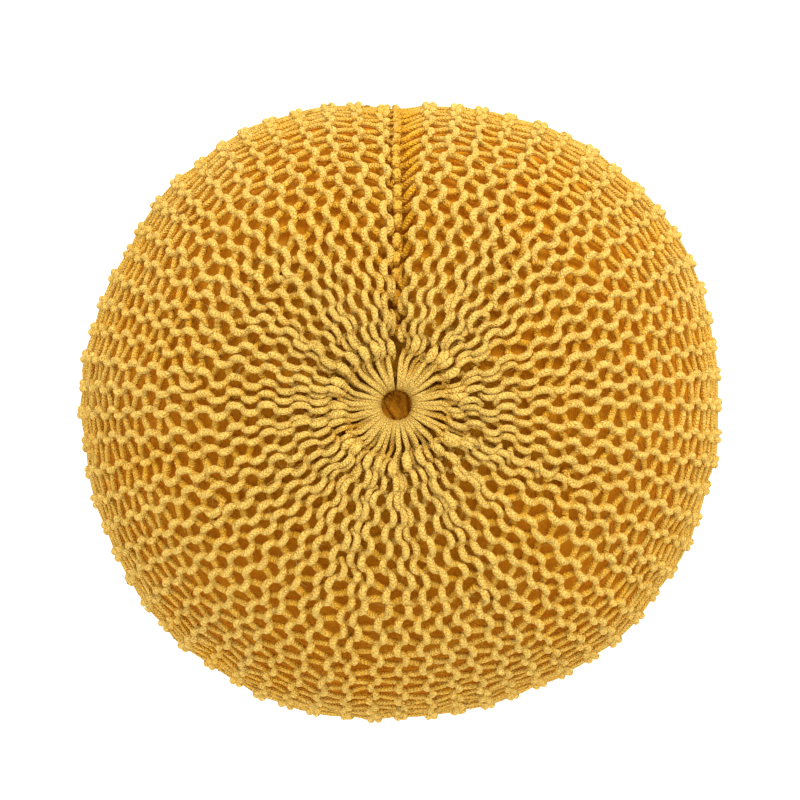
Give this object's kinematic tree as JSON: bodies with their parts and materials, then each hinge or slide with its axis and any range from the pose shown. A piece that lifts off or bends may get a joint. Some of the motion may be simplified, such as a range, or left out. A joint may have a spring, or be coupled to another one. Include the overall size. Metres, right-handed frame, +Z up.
{
  "type": "knitted pouf",
  "caption": "Round knitted pouf: a cotton cover in plain knitting, purl side out, gathered top and bottom round a filled casing, with a flat underside to stand on.",
  "frame": {"origin": "on the floor plane, under the middle of the outline's box", "axes": "+Z up out of the gathered top, +Y towards the cover's seam, +X to the right of the seam seen from above with the seam away from the viewer"},
  "size_m": [0.4998, 0.4802, 0.35],
  "materials": {
    "knitting_cord": "soft matte cotton cord, golden yellow",
    "casing_cloth": "plain matte cotton cloth, deep yellow",
    "sewing_cord": "soft matte cotton cord, golden yellow"
  },
  "bodies": {
    "root": {"knitted_cover": "knitting_cord", "inner_casing": "casing_cloth", "gather_cord_top": "sewing_cord", "gather_cord_bottom": "sewing_cord", "seam_cord": "sewing_cord"}
  },
  "joints": []
}
